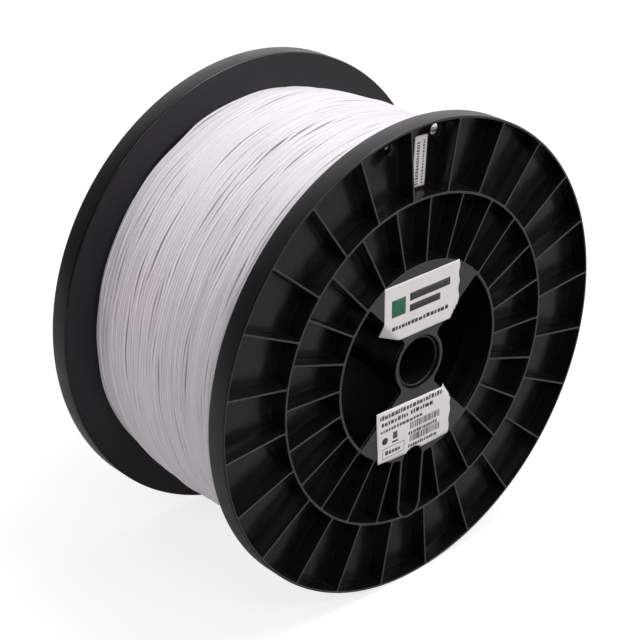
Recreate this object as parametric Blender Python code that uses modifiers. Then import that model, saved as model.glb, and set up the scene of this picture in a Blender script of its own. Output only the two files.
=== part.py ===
"""Filament spool: two ribbed flanges on a core barrel and a centre tube, wound with filament.

The spool stands on its two rims. Its axis lies along Y, the labelled flange faces -Y, and
the origin is on the ground under the middle of the spool.

Every piece is drawn facing +Z, with the spool's centre at its own origin: x points right and
y up as the labelled flange is seen from outside. place() then stands the piece upright.
"""
import math

import bmesh
import bpy
from mathutils import Matrix, Vector

# Driving dimensions, in metres
FLANGE_RADIUS = 0.125
SPOOL_WIDTH = 0.1336            # over both flanges
FLANGE_DEPTH = 0.0112           # a rim, from its outer edge to its inner face
BORE_RADIUS = 0.01406
MID_RING_RADIUS = 0.0872        # to the middle of the wall
HUB_RING_RADIUS = 0.0536        # to the outside of the wall

# Walls
FLOOR_THICKNESS = 0.0016
RIM_WALL = 0.0012
RING_WALL = 0.0012
BORE_WALL = 0.0018
RIB_WALL = 0.0010
HUB_PLATE = 0.0020
SPIGOT_LENGTH = 0.008           # how far the hub ring and the bore boss reach into the core
BARREL_WALL = 0.0020
TUBE_WALL = 0.0014
TUBE_RECESS = 0.0012            # the centre tube's ends below the flange's outer plane
GAP = 0.0003                    # between pieces that touch on the real spool

# The wound filament's surface, heaped towards the labelled flange: radius at each share of the
# way from the plain flange to the labelled one
WINDING_SHAPE = ((0.0, 0.1070), (0.08, 0.1085), (0.17, 0.1105), (0.28, 0.1118), (0.40, 0.1125),
                 (0.65, 0.1125), (0.78, 0.1138), (0.88, 0.1155), (1.0, 0.1165))

# Ribs and their slot
RIB_COUNT = 24                  # in each of the two rows
RIB_DROP = 0.0002               # rib tops below the ring tops
RIB_OVERLAP = 0.0004            # how far a rib runs into the walls at its ends
SLOT_HALF_WIDTH = 0.0068
SLOT_WALL = 0.0013
SLOT_INNER_CENTRE = 0.0541      # from the axis to the centre of the slot's inner round end
SLOT_OUTER_CENTRE = 0.0807

# Hub windows, left and right of the two hub plates
WINDOW_SLOPE = math.radians(43.5)   # of a hub plate's straight edge, from the horizontal
WINDOW_APEX = 0.0032                # where that edge would cross the vertical centre line
WINDOW_FILLET = 0.0035
WINDOW_LEDGE = 0.0003               # plate left standing along the two ring walls

# Filament holes in the pocket floors: distance from the axis, angle, radius
FILAMENT_HOLES = ((0.1160, math.radians(86.0), 0.0031), (0.1140, math.radians(101.0), 0.0020))

# Labels, as seen from outside: the spool has rolled by SPOOL_TURN, its labels are level
SPOOL_TURN = math.radians(3.4)
PAPER = 0.0002
LOGO_LEFT, LOGO_RIGHT, LOGO_BOTTOM, LOGO_TOP = -0.0248, 0.0259, 0.0173, 0.0479
DATA_LEFT, DATA_RIGHT, DATA_BOTTOM, DATA_TOP = -0.0279, 0.0227, -0.0488, -0.0186
STICKER_WIDTH, STICKER_LENGTH, STICKER_RADIUS = 0.0083, 0.0258, 0.1021
STICKER_ANGLE = math.radians(90.0)

STEPS = 72                      # facets round a turned piece
FACE = SPOOL_WIDTH / 2          # the outer plane of a flange, from the spool's middle
INNER_FACE = FACE - FLANGE_DEPTH
FLOOR_TOP = INNER_FACE + FLOOR_THICKNESS
HUB_INNER = HUB_RING_RADIUS - RING_WALL
BORE_OUTER = BORE_RADIUS + BORE_WALL


def clear_scene():
    for obj in list(bpy.data.objects):
        bpy.data.objects.remove(obj)


def new_collection(name):
    collection = bpy.data.collections.new(name)
    bpy.context.scene.collection.children.link(collection)
    return collection


def new_material(name, color, roughness, metallic=0.0):
    material = bpy.data.materials.new(name)
    material.use_nodes = True
    shader = material.node_tree.nodes["Principled BSDF"]
    shader.inputs["Base Color"].default_value = (*color, 1.0)
    shader.inputs["Roughness"].default_value = roughness
    shader.inputs["Metallic"].default_value = metallic
    return material


def new_object(name, mesh, collection):
    obj = bpy.data.objects.new(name, mesh)
    collection.objects.link(obj)
    return obj


def turned_object(name, profile, collection):
    """A closed profile of (radius, height) points, turned about Z.

    The profile runs down its outer side and up its inner side.
    """
    mesh = bpy.data.meshes.new(name)
    count = len(profile)
    points = [(radius, 0.0, height) for radius, height in profile]
    mesh.from_pydata(points, [(i, (i + 1) % count) for i in range(count)], [])
    obj = new_object(name, mesh, collection)
    screw = obj.modifiers.new("Turn", "SCREW")
    screw.steps = screw.render_steps = STEPS
    screw.use_merge_vertices = True
    screw.merge_threshold = 0.00001
    return obj


def prism_mesh(name, outline, low, high):
    """A flat outline of (x, y) points, counter-clockwise, as a solid from low to high."""
    mesh = bpy.data.meshes.new(name)
    bm = bmesh.new()
    base = bm.faces.new([bm.verts.new((x, y, low)) for x, y in outline])
    base.normal_flip()
    extruded = bmesh.ops.extrude_face_region(bm, geom=[base], use_keep_orig=True)["geom"]
    top = [item for item in extruded if isinstance(item, bmesh.types.BMVert)]
    bmesh.ops.translate(bm, verts=top, vec=(0.0, 0.0, high - low))
    bmesh.ops.recalc_face_normals(bm, faces=bm.faces)
    bm.to_mesh(mesh)
    bm.free()
    return mesh


def arc(centre, radius, start, end, steps):
    """Points along an arc, from the start angle to the end angle, both included."""
    angles = [start + (end - start) * i / steps for i in range(steps + 1)]
    return [(centre[0] + radius * math.cos(a), centre[1] + radius * math.sin(a)) for a in angles]


def stadium(half_width, inner_centre, outer_centre):
    """The outline of a slot with round ends, along -Y from the axis."""
    lower = arc((0.0, -outer_centre), half_width, -math.pi, 0.0, 12)
    upper = arc((0.0, -inner_centre), half_width, 0.0, math.pi, 12)
    return lower + upper


def window_outline():
    """The opening on the +X side, between the hub plates, the bore boss and the hub ring."""
    outer_radius = HUB_INNER - WINDOW_LEDGE
    inner_radius = BORE_OUTER + WINDOW_LEDGE
    apex = Vector((0.0, WINDOW_APEX))
    along = Vector((math.cos(WINDOW_SLOPE), math.sin(WINDOW_SLOPE)))
    across = Vector((math.sin(WINDOW_SLOPE), -math.cos(WINDOW_SLOPE)))  # into the window

    def reach(start, radius):
        """How far along the edge's direction start meets a circle round the axis."""
        middle = start.dot(along)
        return -middle + math.sqrt(middle ** 2 - start.length_squared + radius ** 2)

    corner = apex + along * reach(apex, outer_radius)
    fillet_start = apex + across * WINDOW_FILLET
    fillet = fillet_start + along * reach(fillet_start, inner_radius + WINDOW_FILLET)
    corner_angle = math.atan2(corner.y, corner.x)
    boss_angle = math.atan2(fillet.y, fillet.x)
    edge_angle = WINDOW_SLOPE + math.pi / 2

    points = arc((0.0, 0.0), outer_radius, -corner_angle, corner_angle, 16)
    points += arc(fillet, WINDOW_FILLET, edge_angle, boss_angle + math.pi, 4)
    points += arc((0.0, 0.0), inner_radius, boss_angle, -boss_angle, 8)[1:-1]
    points += arc((fillet.x, -fillet.y), WINDOW_FILLET, -boss_angle - math.pi, -edge_angle, 4)
    return points


def flange_profile():
    """The flange without its ribs, windows, slot and holes."""
    spigot = INNER_FACE - SPIGOT_LENGTH
    rim_inner = FLANGE_RADIUS - RIM_WALL
    mid_outer = MID_RING_RADIUS + RING_WALL / 2
    mid_inner = MID_RING_RADIUS - RING_WALL / 2
    return [
        (FLANGE_RADIUS, FACE), (FLANGE_RADIUS, INNER_FACE),
        (HUB_RING_RADIUS, INNER_FACE), (HUB_RING_RADIUS, spigot),
        (HUB_INNER, spigot), (HUB_INNER, FACE - HUB_PLATE),
        (BORE_OUTER, FACE - HUB_PLATE), (BORE_OUTER, spigot),
        (BORE_RADIUS, spigot), (BORE_RADIUS, FACE),
        (HUB_RING_RADIUS, FACE), (HUB_RING_RADIUS, FLOOR_TOP),
        (mid_inner, FLOOR_TOP), (mid_inner, FACE),
        (mid_outer, FACE), (mid_outer, FLOOR_TOP),
        (rim_inner, FLOOR_TOP), (rim_inner, FACE),
    ]


def add_rib(bm, inner, outer, angle):
    """A rib that stands on the floor, from an inner to an outer distance from the axis."""
    low = FLOOR_TOP - RIB_OVERLAP
    high = FACE - RIB_DROP
    length = outer - inner
    centre = Matrix.Translation(((inner + outer) / 2, 0.0, (low + high) / 2))
    size = Matrix.Diagonal((length, RIB_WALL, high - low, 1.0))
    bmesh.ops.create_cube(bm, size=1.0, matrix=Matrix.Rotation(angle, 4, "Z") @ centre @ size)


def rib_mesh():
    """Both rows of ribs; the slot takes the place of the inner row's bottom rib."""
    pitch = 2 * math.pi / RIB_COUNT
    bottom = RIB_COUNT * 3 // 4
    hub_end = HUB_RING_RADIUS - RIB_OVERLAP
    mid_inner = MID_RING_RADIUS - RING_WALL / 2
    mid_outer = MID_RING_RADIUS + RING_WALL / 2
    rim_end = FLANGE_RADIUS - RIM_WALL + RIB_OVERLAP
    bm = bmesh.new()
    for i in range(RIB_COUNT):
        if i != bottom:
            add_rib(bm, hub_end, mid_inner + RIB_OVERLAP, i * pitch)
        add_rib(bm, mid_outer - RIB_OVERLAP, rim_end, (i + 0.5) * pitch)
    mesh = bpy.data.meshes.new("ribs")
    bm.to_mesh(mesh)
    bm.free()
    return mesh


def hole_mesh():
    bm = bmesh.new()
    for distance, angle, radius in FILAMENT_HOLES:
        place_hole = Matrix.Translation((distance * math.cos(angle), distance * math.sin(angle), INNER_FACE))
        bmesh.ops.create_cone(bm, cap_ends=True, segments=16, radius1=radius, radius2=radius,
                              depth=4 * FLOOR_THICKNESS, matrix=place_hole)
    mesh = bpy.data.meshes.new("filament_holes")
    bm.to_mesh(mesh)
    bm.free()
    return mesh


def window_mesh():
    right = prism_mesh("windows", window_outline(), FACE - 2 * HUB_PLATE, FACE + HUB_PLATE)
    bm = bmesh.new()
    bm.from_mesh(right)
    turned = bmesh.ops.duplicate(bm, geom=bm.verts[:] + bm.edges[:] + bm.faces[:])["geom"]
    bmesh.ops.rotate(bm, cent=(0.0, 0.0, 0.0), matrix=Matrix.Rotation(math.pi, 3, "Z"),
                     verts=[item for item in turned if isinstance(item, bmesh.types.BMVert)])
    bm.to_mesh(right)
    bm.free()
    return right


def flange_tools():
    """The solids that are joined to a turned flange or cut from it, in that order."""
    wall = stadium(SLOT_HALF_WIDTH + SLOT_WALL, SLOT_INNER_CENTRE, SLOT_OUTER_CENTRE)
    hollow = stadium(SLOT_HALF_WIDTH, SLOT_INNER_CENTRE, SLOT_OUTER_CENTRE)
    wall_mesh = prism_mesh("slot_wall", wall, INNER_FACE + GAP, FACE - RIB_DROP)
    hollow_mesh = prism_mesh("slot_hollow", hollow, FLOOR_TOP, FACE + HUB_PLATE)
    return [
        ("UNION", rib_mesh()), ("DIFFERENCE", window_mesh()), ("UNION", wall_mesh),
        ("DIFFERENCE", hollow_mesh), ("DIFFERENCE", hole_mesh()),
    ]


def stand(turn=SPOOL_TURN, half_turn=0.0):
    """Turns a piece drawn facing +Z to face -Y, or +Y after a half turn, rolled by turn."""
    upright = Matrix.Rotation(math.pi / 2, 4, "X")
    return Matrix.Rotation(turn, 4, "Y") @ Matrix.Rotation(half_turn, 4, "Z") @ upright


def place(obj, rotation, material):
    """Stands a piece on the spool's axis and gives it its material."""
    obj.parent = spool_axis
    obj.rotation_euler = rotation.to_euler()
    obj.data.materials.append(material)


def build_flange(name, tools, rotation):
    """The turned flange with its tools, which are its children and so move with it."""
    flange = turned_object(name, flange_profile(), parts)
    for operation, mesh in tools:
        tool = new_object(f"{name}_{mesh.name}", mesh, cutters)
        tool.hide_render = True
        tool.display_type = "WIRE"
        tool.parent = flange
        boolean = flange.modifiers.new(mesh.name, "BOOLEAN")
        boolean.operation = operation
        boolean.object = tool
    place(flange, rotation, black_plastic)


def tube_profile(inner, outer, half_length):
    return [(outer, half_length), (outer, -half_length), (inner, -half_length), (inner, half_length)]


def build_core():
    half_length = INNER_FACE - GAP
    barrel_inner = HUB_RING_RADIUS + GAP
    barrel_outer = barrel_inner + BARREL_WALL
    barrel = turned_object("core_barrel", tube_profile(barrel_inner, barrel_outer, half_length), parts)
    place(barrel, stand(), black_plastic)

    tube_outer = BORE_RADIUS - GAP
    tube_inner = tube_outer - TUBE_WALL
    tube = turned_object("centre_tube", tube_profile(tube_inner, tube_outer, FACE - TUBE_RECESS), parts)
    place(tube, stand(), black_plastic)

    surface = [(radius, half_length * (2 * share - 1)) for share, radius in reversed(WINDING_SHAPE)]
    inside = [(barrel_outer + GAP, -half_length), (barrel_outer + GAP, half_length)]
    winding = turned_object("filament_winding", surface + inside, parts)
    place(winding, stand(), white_filament)


def build_paper(name, outline, height, rotation):
    """A paper label: a flat 2D curve, extruded by half its thickness to each side."""
    curve = bpy.data.curves.new(name, "CURVE")
    curve.dimensions = "2D"
    curve.fill_mode = "BOTH"
    curve.extrude = PAPER / 2
    spline = curve.splines.new("POLY")
    spline.points.add(len(outline) - 1)
    for point, (x, y) in zip(spline.points, outline):
        point.co = (x, y, 0.0, 1.0)
    spline.use_cyclic_u = True
    label = new_object(name, curve, parts)
    place(label, rotation, paper)
    label.location = rotation @ Vector((0.0, 0.0, height + PAPER / 2))
    return label


def logo_outline():
    """The upper label: its two lower corners are bent off the plate, into the windows."""
    return [
        (LOGO_LEFT, LOGO_TOP), (LOGO_LEFT + 0.0003, LOGO_BOTTOM + 0.0121),
        (LOGO_LEFT + 0.0111, LOGO_BOTTOM), (LOGO_RIGHT - 0.0060, LOGO_BOTTOM),
        (LOGO_RIGHT, LOGO_BOTTOM + 0.0077), (LOGO_RIGHT, LOGO_TOP),
    ]


def data_outline():
    """The lower label: cut away round the slot, its upper right corner bent off the plate."""
    notch = arc((-0.0029, -0.0541), SLOT_HALF_WIDTH + 0.0003, math.radians(137), math.radians(43), 6)
    return [
        (DATA_LEFT, DATA_TOP), (DATA_LEFT + 0.0003, DATA_BOTTOM), *notch,
        (DATA_RIGHT, DATA_BOTTOM), (DATA_RIGHT, DATA_TOP - 0.0094), (DATA_RIGHT - 0.0067, DATA_TOP),
    ]


def build_labels():
    level = stand(turn=0.0)
    build_paper("logo_label", logo_outline(), FACE + GAP, level)
    build_paper("data_label", data_outline(), FACE + GAP, level)

    half_width, half_length = STICKER_WIDTH / 2, STICKER_LENGTH / 2
    corners = ((-half_length, -half_width), (half_length, -half_width),
               (half_length, half_width), (-half_length, half_width))
    turn = Matrix.Rotation(STICKER_ANGLE, 2)
    outline = [turn @ Vector((STICKER_RADIUS + x, y)) for x, y in corners]
    build_paper("serial_sticker", outline, FLOOR_TOP + GAP, stand())


clear_scene()
parts = new_collection("filament_spool")
cutters = new_collection("cutters")

black_plastic = new_material("black_plastic", (0.018, 0.017, 0.019), 0.38)
white_filament = new_material("white_filament", (0.86, 0.84, 0.87), 0.42)
paper = new_material("paper", (0.78, 0.74, 0.76), 0.55)

spool_axis = bpy.data.objects.new("spool_axis", None)
spool_axis.location = (0.0, 0.0, FLANGE_RADIUS)
parts.objects.link(spool_axis)

tools = flange_tools()
build_flange("front_flange", tools, stand())
build_flange("rear_flange", tools, stand(turn=SPOOL_TURN + math.pi, half_turn=math.pi))   # slot up
build_core()
build_labels()
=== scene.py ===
"""Looks for the filament spool: fine flanges, core, wound filament and paper labels.

The spool stands on its rims with its axis along Y and its labelled flange facing -Y. Fine
meshes are drawn as in the CAD source: x to the right and y up as the labelled flange is seen
from outside, and the height above the spool's middle plane along its axis.
"""

import math

import bmesh
import bpy
import numpy as np
from mathutils import Matrix, Vector
from mathutils.geometry import delaunay_2d_cdt


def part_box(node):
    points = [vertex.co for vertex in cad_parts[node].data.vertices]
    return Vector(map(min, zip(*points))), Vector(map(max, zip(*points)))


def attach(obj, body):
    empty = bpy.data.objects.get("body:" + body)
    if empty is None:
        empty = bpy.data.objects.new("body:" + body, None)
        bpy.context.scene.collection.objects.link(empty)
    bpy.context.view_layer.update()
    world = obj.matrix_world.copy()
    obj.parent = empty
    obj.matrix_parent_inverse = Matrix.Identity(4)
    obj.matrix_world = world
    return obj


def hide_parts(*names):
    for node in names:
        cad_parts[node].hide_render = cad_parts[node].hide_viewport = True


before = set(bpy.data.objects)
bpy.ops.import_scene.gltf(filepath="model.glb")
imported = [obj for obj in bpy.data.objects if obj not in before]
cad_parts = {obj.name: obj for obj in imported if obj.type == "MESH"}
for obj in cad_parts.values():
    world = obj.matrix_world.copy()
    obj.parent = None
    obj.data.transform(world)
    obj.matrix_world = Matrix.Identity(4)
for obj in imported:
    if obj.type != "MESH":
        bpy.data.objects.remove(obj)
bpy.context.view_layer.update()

MM = 0.001
TAU = 2 * math.pi

# Dimensions of the spool, in metres, as the CAD model has them
FLANGE_RADIUS = 0.125
FACE = -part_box("front_flange")[0].y         # a flange's outer plane, from the middle plane
FLANGE_DEPTH = 0.0112
MID_RING_RADIUS = 0.0872
HUB_RING_RADIUS = 0.0536
FLOOR_THICKNESS = 0.0016
RIM_WALL = 0.0012
RING_WALL = 0.0012
BORE_RADIUS = 0.01406
BORE_WALL = 0.0018
RIB_WALL = 0.0010
RIB_DROP = 0.0002
HUB_PLATE = 0.0020
SPIGOT_LENGTH = 0.008
BARREL_WALL = 0.0020
TUBE_WALL = 0.0014
TUBE_RECESS = 0.0012
GAP = 0.0003
RIB_COUNT = 24
SLOT_HALF_WIDTH = 0.0068
SLOT_WALL = 0.0013
SLOT_INNER_CENTRE = 0.0541
SLOT_OUTER_CENTRE = 0.0807
WINDOW_SLOPE = math.radians(43.5)
WINDOW_APEX = 0.0032
WINDOW_LEDGE = 0.0003
SPOOL_TURN = math.radians(3.4)              # how far the spool has rolled about its axis
# Distance from the axis, angle and radius. Only the first hole differs from the CAD's, which is
# half a degree to its left and 0.1 mm smaller in radius.
FILAMENT_HOLES = ((0.1160, math.radians(85.5), 0.0032), (0.1140, math.radians(101.0), 0.0020))

# Places that follow from them
INNER_FACE = FACE - FLANGE_DEPTH
FLOOR_TOP = INNER_FACE + FLOOR_THICKNESS
HUB_INNER = HUB_RING_RADIUS - RING_WALL
BORE_OUTER = BORE_RADIUS + BORE_WALL
SPIGOT_END = INNER_FACE - SPIGOT_LENGTH
RIM_INNER = FLANGE_RADIUS - RIM_WALL
MID_OUTER = MID_RING_RADIUS + RING_WALL / 2
MID_INNER = MID_RING_RADIUS - RING_WALL / 2
POCKET_ROWS = ((HUB_RING_RADIUS, MID_INNER), (MID_OUTER, RIM_INNER))

# The filament, and the surface of its winding: radius at each share of its half length. Towards
# the labelled flange the winding is fuller at the top than at the bottom.
STRAND = 0.00175
UNDER_STRAND = STRAND * 1.06                # the lower layer's turns, thicker so that their gaps are narrow
UNDER_LAYER_DROP = 0.0018
TURNS = 59                                  # in each layer
WINDING_HALF = INNER_FACE - GAP
WINDING_SHAPE = ((-1.0, 0.1070), (-0.84, 0.1085), (-0.66, 0.1105), (-0.44, 0.1118),
                 (-0.20, 0.1125), (0.30, 0.1125), (0.56, 0.1138), (0.76, 0.1155), (1.0, 0.1165))
UNEVEN_FROM = -0.8                          # share of the half length where the unevenness starts
UNEVEN_FILL = 0.0034                        # how much smaller its radius gets at the bottom

# The last flange material is painted shade: a darker, barely reflective black plastic on the inner surfaces
# and the pockets' fillets.
SATIN, GLOSS, BAND, PAINTED_SHADE = 0, 1, 2, 3     # a flange's materials
BLACK_INK, GREEN_INK, GREY_INK = 0, 1, 2    # a print's materials

WELD_DISTANCE = 1e-7                        # points nearer than this become one
FILL_TOLERANCE = 1e-6                       # of filled outlines, in millimetres
OUTSIDE = -1                                # stands for a neighbour that a triangle doesn't have

WINDING_SEED = 7
PRINT_SEED = 23


def standing(turn=SPOOL_TURN, half_turn=0.0):
    """Stands a piece drawn facing up so that it faces -Y, or +Y after a half turn."""
    rotation = (Matrix.Rotation(turn, 4, "Y") @ Matrix.Rotation(half_turn, 4, "Z")
                @ Matrix.Rotation(math.pi / 2, 4, "X"))
    return Matrix.Translation((0.0, 0.0, FLANGE_RADIUS)) @ rotation


def circle(radius, steps, centre=(0.0, 0.0)):
    """A circle's points, counter-clockwise from its right."""
    angles = np.arange(steps) * TAU / steps
    return np.column_stack((centre[0] + radius * np.cos(angles), centre[1] + radius * np.sin(angles)))


class Shell:
    """A mesh in the making: closed outlines at given heights, joined by faces."""

    def __init__(self):
        self.points, self.faces, self.slots = [], [], []

    def loop(self, outline, height):
        """Adds an outline's points, at one height or each at its own, and returns their indices."""
        start = len(self.points)
        heights = np.broadcast_to(height, (len(outline),))
        self.points.extend((float(x), float(y), float(h)) for (x, y), h in zip(outline, heights))
        return list(range(start, len(self.points)))

    def face(self, corners, slot):
        self.faces.append(corners)
        self.slots.append(slot)

    def bridge(self, first, second, slot=0):
        """Joins two loops that have the same number of points."""
        for i in range(len(first)):
            self.face((first[i - 1], first[i], second[i], second[i - 1]), slot)

    def skirt(self, start, sections, slot=0):
        """Joins start to each next outline of (outline, height) pairs and returns the last."""
        for outline, height in sections:
            following = self.loop(outline, height)
            self.bridge(start, following, slot)
            start = following
        return start

    def fan(self, loop, centre, height, slot=0):
        """Fills a loop with triangles round a point inside it."""
        middle = self.loop([centre], height)[0]
        for i in range(len(loop)):
            self.face((loop[i - 1], loop[i], middle), slot)

    def plane(self, loops, slot=0):
        """Fills the flat region inside the first loop and outside the others."""
        corners = [i for loop in loops for i in loop]
        outlines = [np.array([self.points[i][:2] for i in loop]) for loop in loops]
        for triangle in filled(outlines):
            self.face(tuple(corners[i] for i in triangle), slot)

    def build(self, name, matrix, materials):
        """The finished object, its mesh in the row frame."""
        mesh = bpy.data.meshes.new(name)
        mesh.from_pydata(self.points, [], self.faces)
        mesh.polygons.foreach_set("material_index", self.slots)
        mesh.transform(matrix)
        return place(name, mesh, materials, weld=True)


def place(name, mesh, materials, weld=False):
    """Makes a mesh a piece of the spool, its faces turned outwards and shaded smooth."""
    bm = bmesh.new()
    bm.from_mesh(mesh)
    if weld:
        bmesh.ops.remove_doubles(bm, verts=bm.verts, dist=WELD_DISTANCE)
    bmesh.ops.recalc_face_normals(bm, faces=bm.faces)
    bm.to_mesh(mesh)
    bm.free()
    mesh.shade_smooth()
    obj = bpy.data.objects.new(name, mesh)
    bpy.context.scene.collection.objects.link(obj)
    for material in materials:
        mesh.materials.append(material)
    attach(obj, "root")
    return obj


def within(points, polygon):
    """Which points lie inside a polygon: those with an odd number of its edges to their right."""
    ahead = np.roll(polygon, -1, axis=0)
    side = ahead - polygon
    x, y = points[:, :1], points[:, 1:]
    crosses = (polygon[:, 1] > y) != (ahead[:, 1] > y)
    with np.errstate(divide="ignore", invalid="ignore"):
        meet = polygon[:, 0] + (y - polygon[:, 1]) / side[:, 1] * side[:, 0]
    return (crosses & (x < meet)).sum(axis=1) % 2 == 1


def filled(outlines, inner=()):
    """Triangles that fill the first outline outside the others, by way of the inner points.

    They index the outlines' points and then the inner ones. Triangles that meet across an edge
    that no outline runs along are kept or left out together, as the largest of them decides, and
    are left out if such an edge has nothing beyond it. So slivers beside a straight edge always
    go with the right side.
    """
    points = np.vstack([*outlines, *([inner] if len(inner) else [])])
    edges, start = [], 0
    for outline in outlines:
        edges += [(start + i, start + (i + 1) % len(outline)) for i in range(len(outline))]
        start += len(outline)
    flat = [Vector(p) for p in points / MM]
    _, _, faces, origins, _, _ = delaunay_2d_cdt(flat, edges, [], 0, FILL_TOLERANCE)
    source = [origin[0] for origin in origins]
    triangles = np.array([[source[i] for i in face] for face in faces])

    walls = {frozenset(edge) for edge in edges}
    across = {}
    for k, (a, b, c) in enumerate(triangles.tolist()):
        for edge in map(frozenset, ((a, b), (b, c), (c, a))):
            if edge not in walls:
                across.setdefault(edge, []).append(k)
    neighbours = [[] for _ in triangles]
    for pair in across.values():
        neighbours[pair[0]].append(pair[1] if len(pair) == 2 else OUTSIDE)
        neighbours[pair[-1]].append(pair[0])

    sides = points[triangles[:, 1:]] - points[triangles[:, :1]]
    areas = np.abs(sides[:, 0, 0] * sides[:, 1, 1] - sides[:, 0, 1] * sides[:, 1, 0])
    middles = points[triangles].mean(axis=1)
    kept, seen = [], np.zeros(len(triangles), bool)
    for first in np.argsort(-areas):
        if seen[first]:
            continue
        seen[first] = True
        region, enclosed = [first], True
        for k in region:
            for other in neighbours[k]:
                if other == OUTSIDE:
                    enclosed = False
                elif not seen[other]:
                    seen[other] = True
                    region.append(other)
        middle = middles[first][None]
        outer, *holes = (within(middle, outline)[0] for outline in outlines)
        if enclosed and outer and not any(holes):
            kept += region
    return triangles[sorted(kept)].tolist()


# ---------------------------------------------------------------- outlines with rounded corners

SHARPEST_CORNER = 0.0002                    # radius of a corner that is meant to be sharp
POCKET_CORNER = 0.0009
WINDOW_NEAR_CORNER = 0.0035                 # beside the bore
WINDOW_FAR_CORNER = 0.0010                  # beside the hub ring
WINDOW_CENTRE = 0.034                       # distance from the axis
ASIDE_TURN = math.radians(4.5)              # how the centre of a pocket beside the slot keeps
ASIDE_SHIFT = 0.004                         # clear of it, round the axis and away from the axis
RAY_COUNT = 1440                            # directions in which an outline's edge is looked for
RAY_LENGTH = 0.06                           # longer than any opening
HALVINGS = 34                               # of a ray, until its end lies on the edge


def radial(limit, sign):
    """Distance inside a circle (sign -1) or outside it (sign 1)."""
    return lambda p: sign * (np.hypot(p[..., 0], p[..., 1]) - limit)


def beside(angle, sign, half=RIB_WALL / 2):
    """Distance from a rib's face, on its counter-clockwise side (sign 1) or the other."""
    normal = np.array((-math.sin(angle), math.cos(angle))) * sign
    return lambda p: p @ normal - half


def beyond_slot(half_width):
    """Distance from the round-ended wall of the slot below the axis."""
    def distance(p):
        along = np.clip(p[..., 1], -SLOT_OUTER_CENTRE, -SLOT_INNER_CENTRE)
        return np.hypot(p[..., 0], p[..., 1] - along) - half_width
    return distance


def clearance(points, groups, inset):
    """How far points are inside an outline: each group of walls has its own corner radius."""
    result = np.full(points.shape[:-1], np.inf)
    for walls, corner in groups:
        corner = max(corner - inset, SHARPEST_CORNER)
        lack = sum(np.maximum(corner + inset - wall(points), 0.0) ** 2 for wall in walls)
        result = np.minimum(result, corner - np.sqrt(lack))
    return result


class Outline:
    """An opening seen from above: its edge at any inset, always with the same points.

    Neighbouring points are about the straight length apart where the edge is straight, and about
    the bend's angle where it is round.
    """

    def __init__(self, groups, centre, straight=0.003, bend=math.radians(14)):
        self.groups, self.centre = groups, np.array(centre)
        angles = np.arange(RAY_COUNT) * TAU / RAY_COUNT
        rays = np.column_stack((np.cos(angles), np.sin(angles)))
        edge = self.reach(rays, 0.0)
        step = np.roll(edge, -1, axis=0) - edge
        heading = np.unwrap(np.arctan2(step[:, 1], step[:, 0]))
        turn = np.abs(np.diff(heading, append=heading[0] + TAU))
        weight = np.cumsum(np.linalg.norm(step, axis=1) / straight + turn / bend)
        count = round(weight[-1])
        picked = np.interp(np.arange(count) * weight[-1] / count, weight, angles)
        self.rays = np.column_stack((np.cos(picked), np.sin(picked)))

    def reach(self, rays, inset):
        """Where rays from the centre meet the edge at an inset."""
        low, high = np.zeros(len(rays)), np.full(len(rays), RAY_LENGTH)
        for _ in range(HALVINGS):
            middle = (low + high) / 2
            inside = clearance(self.centre + rays * middle[:, None], self.groups, inset) > 0
            low, high = np.where(inside, middle, low), np.where(inside, high, middle)
        return self.centre + rays * low[:, None]

    def at(self, inset):
        """The edge moved inwards by an inset, or outwards if it is negative."""
        return self.reach(self.rays, inset)


def pocket_outlines():
    """The pockets between the ribs, in two rows; the slot's cup cuts into the three nearest."""
    pitch = TAU / RIB_COUNT
    outlines = []
    for k in range(RIB_COUNT):
        for row, (low, high) in enumerate(POCKET_ROWS):
            start = (k + row / 2) * pitch
            walls = [radial(low, 1), radial(high, -1)]
            middle, distance = start + pitch / 2, (low + high) / 2
            for rib, sign in ((start, 1), (start + pitch, -1)):
                walls.append(beside(rib, sign))
                rib_points_down = math.isclose(math.sin(rib), -1.0)
                if row == 0 and rib_points_down:
                    middle += sign * ASIDE_TURN
                    distance += ASIDE_SHIFT
            near_slot = -math.sin(start + pitch / 2) > math.cos(0.75 * pitch)
            if near_slot:
                walls.append(beyond_slot(SLOT_HALF_WIDTH + SLOT_WALL))
            centre = np.array((math.cos(middle), math.sin(middle))) * distance
            outlines.append(Outline([(walls, POCKET_CORNER)], centre))
    return outlines


def window_outline(sign):
    """The hub window to the right of the bore (sign 1) or to its left (sign -1)."""
    across = np.array((math.sin(WINDOW_SLOPE), -math.cos(WINDOW_SLOPE)))

    def edge(flip):
        return lambda p: (sign * p[..., 0]) * across[0] + (flip * p[..., 1] - WINDOW_APEX) * across[1]

    edges = [edge(1), edge(-1)]
    near = [radial(BORE_OUTER + WINDOW_LEDGE, 1), *edges]
    far = [radial(HUB_INNER - WINDOW_LEDGE, -1), *edges]
    return Outline([(near, WINDOW_NEAR_CORNER), (far, WINDOW_FAR_CORNER)], (sign * WINDOW_CENTRE, 0.0))


def slot_outline():
    inside = beyond_slot(SLOT_HALF_WIDTH)
    middle = (0.0, -(SLOT_INNER_CENTRE + SLOT_OUTER_CENTRE) / 2)
    walls = [lambda p: -inside(p)]
    return Outline([(walls, SHARPEST_CORNER)], middle, straight=0.004, bend=math.radians(9))


# ---------------------------------------------------------------- flange

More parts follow.
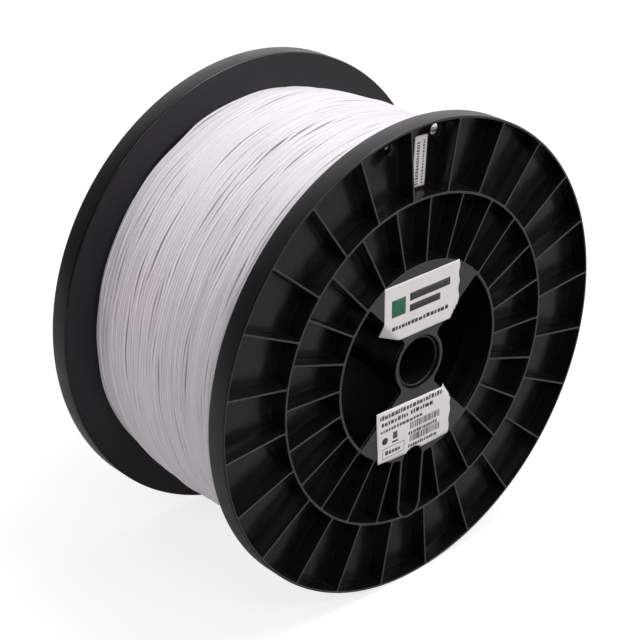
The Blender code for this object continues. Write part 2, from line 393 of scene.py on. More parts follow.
LIP = 0.00025                               # rounding of an opening's top edge
FILLET = 0.0004                             # rounding where a wall meets a pocket's floor
DRAFT = 0.00014                             # how much a wall leans in towards its foot
STRIP = 0.00008                             # flat margin beside a top edge's rounding
FLOOR_STRIP = 0.0003                        # flat margin round a pocket's floor
BACK_STRIP = 0.0002                         # flat margin beside the rim's back edge
BORE_EDGE = 0.0005                          # rounding of the bore's edge
RIM_EDGE = 0.0006                           # rounding of the rim's front edge
BACK_EDGE = 0.0010                          # rounding of the rim's back edge
BEVEL = 0.0003                              # on the ends of the boss and the spigot
FINE_BEVEL = 0.0002                         # on a filament hole's edge and a window's lower edge
RIB_RAMP = 0.0025                           # length over which a rib's top sinks below a ring
RING_STEPS = 288
HOLE_STEPS = 24
ROUND = [math.radians(a) for a in (0, 30, 60, 90)]      # the steps of a rounding


def ring(radius):
    return circle(radius, RING_STEPS)


def face_height(outline):
    """Height of the flange's outer plane: rib tops lie a little below the rings."""
    distance = np.hypot(outline[:, 0], outline[:, 1])
    sunk = np.zeros(len(outline))
    for low, high in POCKET_ROWS:
        from_ring = np.minimum(distance - low, high - distance)
        sunk = np.maximum(sunk, np.clip(from_ring / RIB_RAMP, 0.0, 1.0))
    return FACE - RIB_DROP * sunk


def lip(outline):
    """Sections of a rounded top edge that goes down into an opening."""
    sections = []
    for a in ROUND:
        shape = outline.at(LIP * (math.sin(a) - 1.0))
        sections.append((shape, face_height(shape) - LIP * (1.0 - math.cos(a))))
    return sections


def add_pocket(shell, outline, hole=None):
    """A pocket with a floor; returns its top edge and, if it has a hole, the hole's lower edge."""
    top = outline.at(-LIP - STRIP)
    start = shell.loop(top, face_height(top))
    rounding = lip(outline)
    end = shell.skirt(start, rounding[:-1], SATIN)
    end = shell.skirt(end, rounding[-1:], GLOSS)
    foot = FLOOR_TOP + FILLET
    wall = [(outline.at(DRAFT * share), foot + (1 - share) * (FACE - LIP - foot)) for share in (0.5, 1.0)]
    end = shell.skirt(end, wall, GLOSS)
    fillet = [(outline.at(DRAFT + FILLET * (1 - math.cos(a))), FLOOR_TOP + FILLET * (1 - math.sin(a)))
              for a in ROUND[1:]]
    # The fillets take the painted-shade plastic: a painted shade line without highlights along the pocket
    # floor's edge.
    end = shell.skirt(end, fillet, PAINTED_SHADE)
    end = shell.skirt(end, [(outline.at(DRAFT + FILLET + FLOOR_STRIP), FLOOR_TOP)], GLOSS)
    if hole is None:
        shell.fan(end, outline.centre, FLOOR_TOP, GLOSS)
        return start, None
    centre, radius = hole
    edge = shell.loop(circle(radius + FINE_BEVEL, HOLE_STEPS, centre), FLOOR_TOP)
    shell.plane([end, edge], GLOSS)
    hole_wall = circle(radius, HOLE_STEPS, centre)
    return start, shell.skirt(edge, [(hole_wall, FLOOR_TOP - FINE_BEVEL), (hole_wall, INNER_FACE)], PAINTED_SHADE)


def add_window(shell, outline):
    """An opening through the hub plate; returns its top and its lower edge."""
    start = shell.loop(outline.at(-LIP - STRIP), FACE)
    under = FACE - HUB_PLATE
    end = shell.skirt(start, lip(outline), SATIN)
    wall = [(outline.at(0.0), under + FINE_BEVEL), (outline.at(-FINE_BEVEL), under)]
    return start, shell.skirt(end, wall, GLOSS)


def add_bore(shell):
    """The bore, the end of its boss and the boss's outside; returns the top edge and the last one."""
    start = shell.loop(ring(BORE_RADIUS + BORE_EDGE + STRIP), FACE)
    edge = [(ring(BORE_RADIUS + BORE_EDGE * (1 - math.sin(a))), FACE - BORE_EDGE * (1 - math.cos(a)))
            for a in ROUND]
    end = shell.skirt(start, edge, GLOSS)
    boss = [(ring(BORE_RADIUS), SPIGOT_END + BEVEL), (ring(BORE_RADIUS + BEVEL), SPIGOT_END),
            (ring(BORE_OUTER - BEVEL), SPIGOT_END), (ring(BORE_OUTER), SPIGOT_END + BEVEL),
            (ring(BORE_OUTER), FACE - HUB_PLATE)]
    return start, shell.skirt(end, boss, PAINTED_SHADE)


def add_rim(shell):
    """The rim's front edge, outside and back edge; returns the first and the last edge."""
    start = shell.loop(ring(FLANGE_RADIUS - RIM_EDGE - STRIP), FACE)
    front = [(ring(FLANGE_RADIUS - RIM_EDGE * (1 - math.sin(a))), FACE - RIM_EDGE * (1 - math.cos(a)))
             for a in ROUND]
    end = shell.skirt(start, front, GLOSS)
    end = shell.skirt(end, [(ring(FLANGE_RADIUS), INNER_FACE + BACK_EDGE)], BAND)
    back = [(ring(FLANGE_RADIUS - BACK_EDGE * (1 - math.cos(a))), INNER_FACE + BACK_EDGE * (1 - math.sin(a)))
            for a in ROUND[1:]]
    end = shell.skirt(end, back, GLOSS)
    return start, shell.skirt(end, [(ring(FLANGE_RADIUS - BACK_EDGE - BACK_STRIP), INNER_FACE)], BAND)


def add_spigot(shell):
    """The spigot, and the wall that goes up to the hub plate inside it; returns both end edges.

    Where the slot's cup stands inside the hub ring, that wall follows the cup.
    """
    spokes = ring(1.0)
    angles = np.arctan2(spokes[:, 1], spokes[:, 0])
    half_width = SLOT_HALF_WIDTH + SLOT_WALL
    offset = SLOT_INNER_CENTRE * np.cos(angles + math.pi / 2)
    reach = offset ** 2 - SLOT_INNER_CENTRE ** 2 + half_width ** 2
    near = np.where((reach > 0) & (offset > 0), offset - np.sqrt(np.maximum(reach, 0.0)), np.inf)
    cup = spokes * np.minimum(HUB_INNER, near)[:, None]
    start = shell.loop(ring(HUB_RING_RADIUS), INNER_FACE)
    walls = [(ring(HUB_RING_RADIUS), SPIGOT_END + BEVEL), (ring(HUB_RING_RADIUS - BEVEL), SPIGOT_END),
             (ring(HUB_INNER + BEVEL), SPIGOT_END), (ring(HUB_INNER), SPIGOT_END + BEVEL),
             (ring(HUB_INNER), INNER_FACE), (cup, INNER_FACE), (cup, FACE - HUB_PLATE)]
    return start, shell.skirt(start, walls, PAINTED_SHADE)


def build_flange(name, matrix, materials):
    """A flange as one closed mesh: its walls first, then the planes between them."""
    shell = Shell()
    holes = [(np.array((d * math.cos(a), d * math.sin(a))), r) for d, a, r in FILAMENT_HOLES]
    openings, hole_feet, window_feet = [], [], []
    for outline in pocket_outlines():
        inside = [hole for hole in holes if clearance(hole[0], outline.groups, 0.0) > 0]
        start, foot = add_pocket(shell, outline, inside[0] if inside else None)
        openings.append(start)
        if foot:
            hole_feet.append(foot)
    openings.append(add_pocket(shell, slot_outline())[0])
    for sign in (1, -1):
        start, foot = add_window(shell, window_outline(sign))
        openings.append(start)
        window_feet.append(foot)
    bore, boss = add_bore(shell)
    openings.append(bore)
    rim, inner_rim = add_rim(shell)
    spigot, under_plate = add_spigot(shell)

    shell.plane([rim, *openings], SATIN)
    shell.plane([inner_rim, spigot, *hole_feet], BAND)
    shell.plane([under_plate, boss, *window_feet], PAINTED_SHADE)
    return shell.build(name, matrix, materials)


# ---------------------------------------------------------------- core

def build_tube(name, inner, outer, half_length, wall, end, edge=0.0004, steps=192):
    """A tube along the axis; its rounded ends have a material of their own."""
    shell = Shell()
    rise = [(edge * (1 - math.cos(a)), edge * (1 - math.sin(a))) for a in ROUND]
    fall = rise[::-1]
    sections = [(outer - across, half_length - along) for across, along in rise]
    sections += [(outer - across, along - half_length) for across, along in fall]
    sections += [(inner + across, along - half_length) for across, along in fall]
    sections += [(inner + across, half_length - along) for across, along in rise]
    loops = [shell.loop(circle(radius, steps), height) for radius, height in sections]
    heights = [height for _, height in sections]
    for k in range(len(loops)):
        is_wall = abs(heights[k] - heights[k - 1]) > half_length
        shell.bridge(loops[k - 1], loops[k], 0 if is_wall else 1)
    return shell.build(name, standing(), [wall, end])


# ---------------------------------------------------------------- winding

WAVES_ROUND = (2, 22)                       # how often a wave goes round the spool, the last left out
WEAKER_FROM = 9.0                           # waves that go round more often than this fade


def winding_radius(heights, angles):
    """Radius of the wound surface; heights hold a row for each turn, a column for each angle."""
    share = heights / WINDING_HALF
    radius = np.interp(share, *zip(*WINDING_SHAPE))
    near_label_side = np.clip((share - UNEVEN_FROM) / (1.0 - UNEVEN_FROM), 0.0, 1.0)
    return radius - UNEVEN_FILL * near_label_side * (1.0 - np.sin(angles)) / 2


def drift(rng, lanes, angles, modes, amplitude, lane_span):
    """Random waves round the spool and across its turns, with the amplitude as their spread."""
    total = np.zeros((len(lanes), len(angles)))
    for _ in range(modes):
        frequency = rng.integers(*WAVES_ROUND)
        slope = rng.normal(0.0, TAU / lane_span)
        weight = rng.normal(0.0, 1.0) / (1.0 + (frequency / WEAKER_FROM) ** 2)
        phase = rng.uniform(0.0, TAU)
        total += weight * np.cos(frequency * angles[None, :] + slope * lanes[:, None] + phase)
    return total * amplitude / total.std()


def separate(rows, least, low, high, rounds=60):
    """Moves neighbouring rows towards a least distance from each other, between two limits."""
    for _ in range(rounds):
        lack = np.maximum(least - np.diff(rows, axis=0), 0.0) / 2
        rows[:-1] -= lack
        rows[1:] += lack
        rows[0] = np.maximum(rows[0], low)
        rows[-1] = np.minimum(rows[-1], high)
    return np.clip(rows, low, high)


def strand_rings(name, heights, radii, sides, thickness, materials, seed):
    """Closed turns of round filament; heights and radii hold a row for each turn."""
    turns, steps = heights.shape
    angles = np.arange(steps) * TAU / steps
    tilt = (np.arange(sides) + 0.5) * TAU / sides
    out = radii[:, :, None] + thickness / 2 * np.cos(tilt)
    along = heights[:, :, None] + thickness / 2 * np.sin(tilt)
    x = out * np.cos(angles)[None, :, None]
    y = out * np.sin(angles)[None, :, None]
    points = np.stack((x, y, along), axis=-1)
    index = np.arange(turns * steps * sides).reshape(turns, steps, sides)
    ahead, beside_it = np.roll(index, -1, axis=1), np.roll(index, -1, axis=2)
    both = np.roll(ahead, -1, axis=2)
    quads = np.stack((index, beside_it, both, ahead), axis=-1).reshape(-1, 4)
    mesh = bpy.data.meshes.new(name)
    mesh.from_pydata(points.reshape(-1, 3).tolist(), [], quads.tolist())
    mesh.transform(standing())
    shade = np.random.default_rng(seed).uniform(0.0, 1.0, turns)
    attribute = mesh.attributes.new("turn_shade", "FLOAT", "POINT")
    attribute.data.foreach_set("value", np.repeat(shade, steps * sides).astype(np.float32))
    return place(name, mesh, materials)


def build_winding(materials):
    """The outermost layer of turns, slightly uneven, and the layer seen through its gaps."""
    rng = np.random.default_rng(WINDING_SEED)
    limit = WINDING_HALF - STRAND / 2
    lanes = np.arange(TURNS, dtype=float)

    def layer(steps, wander, closeness):
        """The angles of a layer's points and their heights, a row for each turn."""
        angles = np.arange(steps) * TAU / steps
        even = np.linspace(-limit, limit, TURNS)[:, None]
        heights = even + drift(rng, lanes, angles, modes=60, amplitude=wander, lane_span=7.0)
        heights += drift(rng, lanes, angles, modes=60, amplitude=wander * 0.8, lane_span=1.7)
        return angles, separate(heights, STRAND * closeness, -limit, limit)

    angles, heights = layer(steps=240, wander=0.0007, closeness=0.985)
    lumps = (drift(rng, lanes, angles, modes=40, amplitude=0.00022, lane_span=16.0)
             + drift(rng, lanes, angles, modes=60, amplitude=0.00022, lane_span=1.5))
    radii = winding_radius(heights, angles) - STRAND / 2 + lumps
    top = strand_rings("filament_top_turns", heights, radii, 7, STRAND, materials, seed=11)

    angles, heights = layer(steps=180, wander=0.0004, closeness=0.98)
    radii = winding_radius(heights, angles) - STRAND / 2 - UNDER_LAYER_DROP
    under = strand_rings("filament_under_turns", heights, radii, 6, UNDER_STRAND, materials, seed=12)
    return top, under


# ---------------------------------------------------------------- labels

PAPER = 0.00016                             # a sheet's thickness
INK = 0.00003                               # how far a print stands out of its sheet
LIFT = 0.00006                              # gap between a sheet and the plastic
EDGE_STEP = 0.0012                          # between the points on a label's edge
EDGE_CLEARANCE = 0.45                       # of a grid's step, between its points and the edge

# Left, right, low and high edge, seen upright for the label and lying down for the sticker
LOGO_LABEL = (-0.0248, 0.0259, 0.0173, 0.0479)
STICKER = (0.0892, 0.1150, -0.00415, 0.00415)

DASH_HEIGHTS = (0.72, 1.0)                  # shares of a row's height
DASH_GAPS = (0.7, 1.6)                      # shares of a row's usual gap
STRIPE_WIDTHS = (0.00022, 0.00035, 0.0006)
STRIPE_GAPS = (0.00022, 0.0003, 0.0005)


def subdivided(corners, step):
    """A closed outline through the corners, with a point at least every step."""
    points = []
    for a, b in zip(corners, corners[1:] + corners[:1]):
        a, b = np.array(a), np.array(b)
        count = max(1, math.ceil(np.linalg.norm(b - a) / step))
        points += [tuple(a + (b - a) * i / count) for i in range(count)]
    return np.array(points)


def rectangle(left, right, low, high, step=0.002):
    return subdivided([(left, low), (right, low), (right, high), (left, high)], step)


def crease(start, end, angle, bend_radius):
    """A fold by an angle in degrees; the paper to the right of start to end bends down."""
    start, end = np.array(start), np.array(end)
    along = (end - start) / np.linalg.norm(end - start)
    return start, np.array((along[1], -along[0])), math.radians(angle), bend_radius


def uneven_right_edge(outline, size, length, margin=0.0014):
    """Lets the part of a sheet's outline within a margin of its right edge wander a little."""
    edge = np.flatnonzero(outline[:, 0] > outline[:, 0].max() - margin)
    outline[edge, 0] += size * np.sin(TAU * outline[edge, 1] / length)
    return outline


def ripple(height, length, heading):
    """Paper lifted in soft waves across a heading."""
    across = np.array((math.cos(heading), math.sin(heading))) * TAU / length
    return lambda points: height * (1.0 + np.sin(points @ across)) / 2


def bent(points, creases, wave):
    """Folds and lifts flat paper points: their places in the plane and their depths below it."""
    placed, depth = points.copy(), np.zeros(len(points))
    for start, normal, angle, radius in creases:
        reach = (points - start) @ normal
        turned = np.clip(reach / radius, 0.0, angle)
        beyond = np.maximum(reach - radius * angle, 0.0)
        moved = radius * np.sin(turned) + beyond * math.cos(angle)
        active = reach > 0
        placed += np.where(active, moved - reach, 0.0)[:, None] * normal
        depth += np.where(active, radius * (1 - np.cos(turned)) + beyond * math.sin(angle), 0.0)
    if wave is not None:
        depth -= wave(points)
    return placed, depth


def sheet_mesh(shell, outline, low, high, creases, wave, grid=0.0016, slot=0):
    """A sheet between two heights, cut to an outline, with inner points on a grid to bend at."""
    xs = np.arange(outline[:, 0].min() + grid / 2, outline[:, 0].max(), grid)
    ys = np.arange(outline[:, 1].min() + grid / 2, outline[:, 1].max(), grid)
    inner = np.array([(x, y) for x in xs for y in ys])
    if len(inner):
        inner = inner[within(inner, outline)]
        gap = np.linalg.norm(inner[:, None, :] - outline[None, :, :], axis=2).min(axis=1)
        inner = inner[gap > grid * EDGE_CLEARANCE]
    flat = np.vstack((outline, inner)) if len(inner) else outline
    placed, depth = bent(flat, creases, wave)
    bottom = shell.loop(placed, low - depth)
    top = shell.loop(placed, high - depth)
    for a, b, c in filled([outline], inner):
        shell.face((bottom[a], bottom[b], bottom[c]), slot)
        shell.face((top[a], top[b], top[c]), slot)
    shell.bridge(bottom[:len(outline)], top[:len(outline)], slot)


def build_label(name, outline, matrix, base, creases, wave, prints, paper, inks):
    """A paper label and, as its own piece, what is printed on it: (outline, ink) pairs."""
    shell = Shell()
    top = base + PAPER
    sheet_mesh(shell, outline, base, top, creases, wave)
    label = shell.build(name, matrix, [paper])
    shell = Shell()
    for shape, ink in prints:
        sheet_mesh(shell, shape, top - INK, top + INK, creases, wave, grid=0.0030, slot=ink)
    printing = shell.build(name + "_print", matrix, inks)
    return label, printing


def dashes(rng, left, right, low, high, widths, gap):
    """A row of short bars that stands in for a line of text."""
    shapes, x = [], left
    while x < right - widths[0]:
        width = min(rng.uniform(*widths), right - x)
        tall = rng.uniform(*DASH_HEIGHTS)
        shapes.append(rectangle(x, x + width, low, low + (high - low) * tall))
        x += width + gap * rng.uniform(*DASH_GAPS)
    return shapes


def barcode(rng, left, right, low, high):
    """Upright stripes of random widths, which code nothing."""
    shapes, x = [], left
    while x < right:
        width = rng.choice(STRIPE_WIDTHS)
        shapes.append(rectangle(x, min(x + width, right), low, high, step=0.004))
        x += width + rng.choice(STRIPE_GAPS)
    return shapes


def framed(left, right, low, high, line, seam):
    """A frame of four bars; the upright ones leave a seam, so that no two bars touch."""
    level = [rectangle(left, right, y, y + line) for y in (low, high - line)]
    upright = [rectangle(x, x + line, low + line + seam, high - line - seam) for x in (left, right - line)]
    return level + upright


def logo_prints(rng):
    """A plain square, two bars and a row of dashes: no mark and no lettering."""
    shapes = [(rectangle(-0.0200, -0.0108, 0.0308, 0.0400), GREEN_INK),
              (rectangle(-0.0080, 0.0196, 0.0363, 0.0405), BLACK_INK),
              (rectangle(-0.0080, 0.0128, 0.0305, 0.0343), BLACK_INK)]
    line = dashes(rng, -0.0196, 0.0200, 0.0236, 0.0258, widths=(0.0012, 0.0024), gap=0.0005)
    return shapes + [(shape, BLACK_INK) for shape in line]


def data_prints(rng):
    """Rows of dashes, two groups of stripes, a disc, two blocks and a framed row."""
    shapes = []

    def add(outlines, ink):
        shapes.extend((outline, ink) for outline in outlines)

    def row(left, right, low, tall, widths=(0.0008, 0.0022), gap=0.0005, ink=GREY_INK):
        add(dashes(rng, left, right, low, low + tall, widths, gap), ink)

    row(-0.0266, 0.0171, -0.0237, tall=0.0026)
    row(-0.0253, -0.0075, -0.0276, tall=0.0024)
    row(-0.0055, 0.0109, -0.0274, tall=0.0025, widths=(0.0010, 0.0026), ink=BLACK_INK)
    row(-0.0259, 0.0027, -0.0312, tall=0.0018)
    for low in (-0.0360, -0.0434):
        add(barcode(rng, -0.0057, 0.0154, low, low + 0.0039), BLACK_INK)
        row(-0.0067, 0.0134, low - 0.0031, tall=0.0020, widths=(0.0006, 0.0014), gap=0.0004)
    add([circle(0.0020, 28, centre=(-0.0231, -0.0362))], BLACK_INK)
    add([rectangle(-0.0179, -0.0141, -0.0391, -0.0381)], BLACK_INK)
    add([rectangle(-0.0175, -0.0145, -0.0370, -0.0331)], GREY_INK)
    add(framed(-0.0247, -0.0095, -0.0463, -0.0405, line=0.0003, seam=0.00003), GREY_INK)
    row(-0.0227, -0.0110, -0.0446, tall=0.0024, widths=(0.0012, 0.0022), gap=0.0004)
    return shapes


def build_logo_label(rng, paper, inks):
    """The upper label, whose lower corners fold down into the hub windows."""
    outline = uneven_right_edge(rectangle(*LOGO_LABEL, step=EDGE_STEP), size=0.00035, length=0.0085)
    creases = [crease((-0.0245, 0.0294), (-0.01375, 0.0176), angle=53, bend_radius=0.0015),
               crease((0.0199, 0.01725), (0.02575, 0.0250), angle=80, bend_radius=0.0012)]
    wave = ripple(height=0.00010, length=0.019, heading=0.4)
    return build_label("logo_label_paper", outline, standing(turn=0.0), FACE + LIFT, creases, wave,
                       logo_prints(rng), paper, inks)


def build_data_label(rng, paper, inks):
    """The lower label, notched over the slot's end; its upper right corner folds into a window."""
    notch_x, notch_y, notch_radius = -0.0029, -0.0545, 0.0075
    notch = [(notch_x + notch_radius * math.cos(a), notch_y + notch_radius * math.sin(a))
             for a in np.radians(np.linspace(135, 45, 9))]
    corners = [(-0.0277, -0.0480), (-0.0096, -0.0491), *notch, (0.0217, -0.0486), (0.0226, -0.0294),
               (0.0227, -0.0202), (-0.0291, -0.0188)]
    outline = uneven_right_edge(subdivided(corners, EDGE_STEP), size=0.00035, length=0.0095)
    creases = [crease((0.0226, -0.0294), (0.0155, -0.0200), angle=55, bend_radius=0.0015)]
    wave = ripple(height=0.00016, length=0.013, heading=2.6)
    return build_label("data_label_paper", outline, standing(turn=0.0), FACE + LIFT, creases, wave,
                       data_prints(rng), paper, inks)


def build_sticker(rng, paper, inks):
    """The small sticker with two rows of dashes, on the floor of a pocket above the axis."""
    prints = []
    for low, tall in ((-0.0027, 0.0014), (0.0006, 0.0021)):
        line = dashes(rng, 0.0905, 0.1125, low, low + tall, widths=(0.0005, 0.0010), gap=0.0005)
        prints += [(shape, GREY_INK) for shape in line]
    quarter_turned = standing() @ Matrix.Rotation(math.pi / 2, 4, "Z")
    return build_label("serial_sticker_paper", rectangle(*STICKER, step=0.003), quarter_turned,
                       FLOOR_TOP + LIFT, [], None, prints, paper, inks)


# ---------------------------------------------------------------- materials

class Nodes:
    """A material's nodes, with short ways to add the usual ones."""

    def __init__(self, name):
        self.material = bpy.data.materials.new(name)
        self.material.use_nodes = True
        self.tree = self.material.node_tree
        self.shader = self.tree.nodes["Principled BSDF"]
        self.place = self.add("ShaderNodeTexCoord").outputs["Object"]

    def add(self, kind, **settings):
        node = self.tree.nodes.new(kind)
        for key, value in settings.items():
            setattr(node, key, value)
        return node

    def link(self, output, target):
        self.tree.links.new(output, target)

    def noise(self, scale, detail=2.0, roughness=0.5):
        node = self.add("ShaderNodeTexNoise")
        node.inputs["Scale"].default_value = scale
        node.inputs["Detail"].default_value = detail
        node.inputs["Roughness"].default_value = roughness
        self.link(self.place, node.inputs["Vector"])
        return node.outputs["Fac"]

    def spread(self, value, low, high, from_low=0.35, from_high=0.65):
        """Maps a noise's middle range to low and high."""
        node = self.add("ShaderNodeMapRange")
        limits = {"From Min": from_low, "From Max": from_high, "To Min": low, "To Max": high}
        for key, number in limits.items():
            node.inputs[key].default_value = number
        self.link(value, node.inputs["Value"])
        return node.outputs["Result"]

    def blend(self, factor, first, second):
        """Mixes two colours, each a tuple or a node's output."""
        node = self.add("ShaderNodeMix", data_type="RGBA")
        self.link(factor, node.inputs["Factor"])
        for socket, colour in ((node.inputs[6], first), (node.inputs[7], second)):
            if isinstance(colour, tuple):
                socket.default_value = (*colour, 1.0)
            else:
                self.link(colour, socket)
        return node.outputs[2]

    def bump(self, height, distance, before=None):
        """A normal bumped by a height, on top of the bump before it if there is one."""
        node = self.add("ShaderNodeBump")
        node.inputs["Strength"].default_value = 1.0
        node.inputs["Distance"].default_value = distance
        self.link(height, node.inputs["Height"])
        if before is not None:
            self.link(before, node.inputs["Normal"])
        return node.outputs["Normal"]

    def set(self, **values):
        """Sets or links the shader's sockets, named with _ for a space; returns the material."""
        for key, value in values.items():
            socket = self.shader.inputs[key.replace("_", " ")]
            if isinstance(value, bpy.types.NodeSocket):
                self.link(value, socket)
            elif isinstance(value, tuple):
                socket.default_value = (*value, 1.0)
            else:
                socket.default_value = value
        return self.material


def black_plastic(name, colour, dust, roughness, grain, warp, specular):
    """Moulded black plastic: fine grain, slight sink marks, faint smudges and a little dust."""
    nodes = Nodes(name)
    smudge = nodes.noise(38.0, 3.0, 0.6)
    specks = nodes.spread(nodes.noise(900.0), 0.0, 1.0, 0.66, 0.74)
    base = nodes.blend(specks, colour, dust)
    waves = nodes.bump(nodes.noise(45.0), warp)
    normal = nodes.bump(nodes.noise(2600.0), grain, before=waves)
    return nodes.set(Base_Color=base, Roughness=nodes.spread(smudge, roughness * 0.85, roughness * 1.2),
                     Normal=normal, Specular_IOR_Level=specular)


def filament_material():
    """White filament: each turn a little lighter or darker, with soft clouds and a fine grain."""
    nodes = Nodes("white_filament")
    shade = nodes.add("ShaderNodeAttribute", attribute_name="turn_shade").outputs["Fac"]
    tint = nodes.blend(shade, (0.74, 0.69, 0.735), (0.90, 0.85, 0.895))
    cloud = nodes.spread(nodes.noise(30.0, 3.0), 0.0, 1.0)
    base = nodes.blend(cloud, tint, (0.86, 0.79, 0.84))
    normal = nodes.bump(nodes.noise(1500.0), 0.00002)
    return nodes.set(Base_Color=base, Roughness=nodes.spread(cloud, 0.36, 0.48), Normal=normal)


def paper_material():
    """Matt paper with fibres and a slightly uneven tone."""
    nodes = Nodes("paper")
    fibre = nodes.noise(1400.0, 3.0)
    cloud = nodes.spread(nodes.noise(90.0, 3.0), 0.0, 1.0)
    base = nodes.blend(cloud, (0.88, 0.80, 0.81), (0.92, 0.86, 0.865))
    return nodes.set(Base_Color=base, Roughness=nodes.spread(fibre, 0.5, 0.62),
                     Normal=nodes.bump(fibre, 0.00002))


def ink_material(name, colour):
    """Printed ink with small paler spots."""
    nodes = Nodes(name)
    wear = nodes.spread(nodes.noise(2200.0), 0.0, 1.0, 0.55, 0.75)
    paler = tuple(min(1.0, 0.12 + c * 1.1) for c in colour)
    return nodes.set(Base_Color=nodes.blend(wear, colour, paler), Roughness=nodes.spread(wear, 0.42, 0.55))


# ---------------------------------------------------------------- the object

satin = black_plastic("black_plastic_satin", (0.035, 0.033, 0.034), dust=(0.06, 0.06, 0.06),
                      roughness=0.46, grain=0.00002, warp=0.0001, specular=0.5)
gloss = black_plastic("black_plastic_gloss", (0.005, 0.005, 0.005), dust=(0.02, 0.02, 0.02),
                      roughness=0.24, grain=0.000004, warp=0.0008, specular=0.4)
band = black_plastic("black_plastic_band", (0.011, 0.0105, 0.012), dust=(0.03, 0.03, 0.03),
                     roughness=0.34, grain=0.00001, warp=0.0002, specular=0.5)
# inside: a darker copy of the black plastic that hardly reflects, on the inner surfaces, hollows and pocket
# fillets: painted shade.
inside = black_plastic("black_plastic_painted_shade", (0.0035, 0.0035, 0.0035), dust=(0.005, 0.005, 0.005),
                       roughness=0.5, grain=0.00001, warp=0.0001, specular=0.12)
filament = filament_material()
paper = paper_material()
inks = [ink_material("black_ink", (0.016, 0.014, 0.018)), ink_material("green_ink", (0.004, 0.13, 0.055)),
        ink_material("grey_ink", (0.07, 0.06, 0.07))]


def stands_for(piece, node):
    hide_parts(node)


flange_plastics = [satin, gloss, band, inside]
stands_for(build_flange("front_flange_fine", standing(), flange_plastics), "front_flange")
slot_up = standing(turn=SPOOL_TURN + math.pi, half_turn=math.pi)
stands_for(build_flange("rear_flange_fine", slot_up, flange_plastics), "rear_flange")
# The barrel and the centre tube's wall take the painted-shade plastic.
barrel_inner = HUB_RING_RADIUS + GAP
stands_for(build_tube("core_barrel_fine", barrel_inner, barrel_inner + BARREL_WALL, WINDING_HALF,
                      inside, inside), "core_barrel")
tube_outer = BORE_RADIUS - GAP
stands_for(build_tube("centre_tube_fine", tube_outer - TUBE_WALL, tube_outer, FACE - TUBE_RECESS,
                      inside, gloss, edge=0.0006), "centre_tube")
for turns in build_winding([filament]):
    stands_for(turns, "filament_winding")

print_rng = np.random.default_rng(PRINT_SEED)
for part in build_logo_label(print_rng, paper, inks):
    stands_for(part, "logo_label")
for part in build_data_label(print_rng, paper, inks):
    stands_for(part, "data_label")
for part in build_sticker(print_rng, paper, inks):
    stands_for(part, "serial_sticker")


# ---------------------------------------------------------------- camera, floor and light

LIGHT_AIM = Vector((0.0, 0.0, 0.12))
FLOOR_RADIUS = 9.0


def look_from(azimuth, elevation, distance, across, up, lens):
    """A camera aimed at the spool's middle, then shifted; distance, across and up in flange radii."""
    a, e = math.radians(azimuth), math.radians(elevation)
    right = Vector((math.cos(a), math.sin(a), 0.0))
    above = Vector((-math.sin(e) * math.sin(a), math.sin(e) * math.cos(a), math.cos(e)))
    back = Vector((math.sin(a) * math.cos(e), -math.cos(a) * math.cos(e), math.sin(e)))
    data = bpy.data.cameras.new("camera")
    data.lens, data.sensor_width = lens, 36.0
    data.clip_start, data.clip_end = 0.05, 50.0
    camera = bpy.data.objects.new("camera", data)
    turned = Matrix((right, above, back)).transposed().to_4x4()
    turned.translation = (Vector((0.0, 0.0, FLANGE_RADIUS))
                          + FLANGE_RADIUS * (distance * back - across * right - up * above))
    camera.matrix_world = turned
    bpy.context.scene.collection.objects.link(camera)
    bpy.context.scene.camera = camera


def area_light(name, position, size, radiance, colour=(1.0, 1.0, 1.0)):
    """A rectangular light aimed at the spool, of the same radiance at any size."""
    data = bpy.data.lights.new(name, "AREA")
    data.shape, data.size, data.size_y = "RECTANGLE", size[0], size[1]
    data.energy = radiance * math.pi * size[0] * size[1]
    data.color = colour
    light = bpy.data.objects.new(name, data)
    light.location = position
    light.rotation_mode = "QUATERNION"
    light.rotation_quaternion = (LIGHT_AIM - Vector(position)).to_track_quat("-Z", "Y")
    bpy.context.scene.collection.objects.link(light)


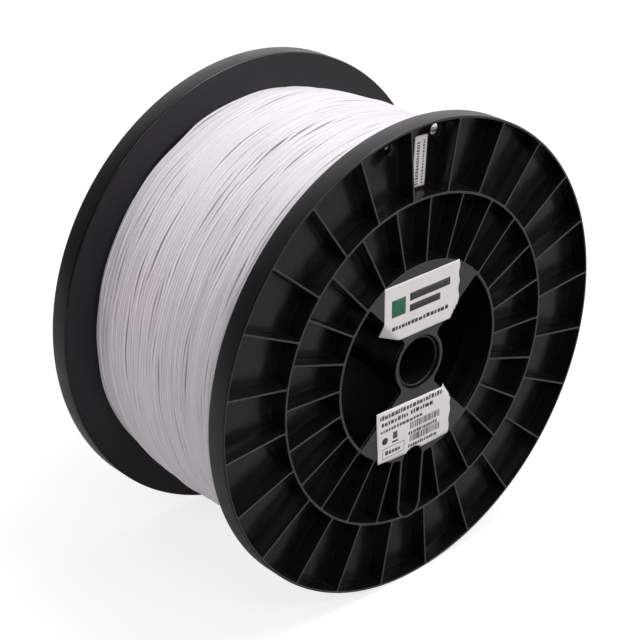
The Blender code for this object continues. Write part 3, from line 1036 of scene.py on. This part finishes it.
def build_world():
    """Soft room light. Reflections see a pale room to the right and a dim one to the left."""
    world = bpy.data.worlds.new("studio")
    bpy.context.scene.world = world
    world.use_nodes = True
    tree = world.node_tree
    nodes, links = tree.nodes, tree.links
    background = nodes["Background"]
    direction = nodes.new("ShaderNodeSeparateXYZ")
    links.new(nodes.new("ShaderNodeTexCoord").outputs["Generated"], direction.inputs["Vector"])

    def ramp(axis, start, end, first, last):
        """A smooth change from the first to the last value along a direction's axis."""
        node = nodes.new("ShaderNodeMapRange")
        node.interpolation_type = "SMOOTHSTEP"
        limits = {"From Min": start, "From Max": end, "To Min": first, "To Max": last}
        for key, value in limits.items():
            node.inputs[key].default_value = value
        links.new(direction.outputs[axis], node.inputs["Value"])
        return node.outputs["Result"]

    path = nodes.new("ShaderNodeLightPath")

    def choose(factor, first, second):
        node = nodes.new("ShaderNodeMix")
        links.new(factor, node.inputs["Factor"])
        links.new(first, node.inputs["A"])
        if isinstance(second, float):
            node.inputs["B"].default_value = second
        else:
            links.new(second, node.inputs["B"])
        return node.outputs["Result"]

    soft = ramp("Z", -0.3, 0.5, first=0.53, last=0.46)
    mirrored = ramp("X", -0.55, 0.60, first=0.06, last=1.15)
    level = choose(path.outputs["Is Glossy Ray"], soft, mirrored)
    level = choose(path.outputs["Is Camera Ray"], level, 1.0)
    links.new(level, background.inputs["Strength"])
    background.inputs["Color"].default_value = (1.0, 0.985, 0.995, 1.0)


def build_floor():
    """A pale floor: seen straight it also glows a little, so that shadows stay faint."""
    bpy.ops.mesh.primitive_circle_add(vertices=96, radius=FLOOR_RADIUS, fill_type="NGON")
    floor = bpy.context.object
    floor.name = "floor"
    floor.visible_diffuse = False
    nodes = Nodes("floor")
    cloud = nodes.spread(nodes.noise(2.0, 2.0), 0.0, 1.0)
    nodes.set(Base_Color=nodes.blend(cloud, (0.32, 0.32, 0.32), (0.33, 0.33, 0.33)), Roughness=0.9,
              Specular_IOR_Level=0.1, Emission_Color=(1.0, 1.0, 1.0), Emission_Strength=0.76)
    reflected = nodes.add("ShaderNodeBsdfDiffuse")
    reflected.inputs["Color"].default_value = (0.5, 0.5, 0.5, 1.0)
    either = nodes.add("ShaderNodeMixShader")
    nodes.link(nodes.add("ShaderNodeLightPath").outputs["Is Camera Ray"], either.inputs["Fac"])
    nodes.link(reflected.outputs["BSDF"], either.inputs[1])
    nodes.link(nodes.shader.outputs["BSDF"], either.inputs[2])
    nodes.link(either.outputs["Shader"], nodes.tree.nodes["Material Output"].inputs["Surface"])
    floor.data.materials.append(nodes.material)


look_from(azimuth=-42.135, elevation=27.269, distance=7.6812, across=0.0331, up=0.0167, lens=104.76)
build_world()
build_floor()
area_light("key", (0.68, -0.38, 1.85), size=(1.2, 1.2), radiance=5.2, colour=(0.93, 0.98, 1.0))
area_light("front", (-0.42, -1.15, 1.28), size=(1.1, 0.18), radiance=9.0)
bpy.context.scene.view_settings.view_transform = "Standard"
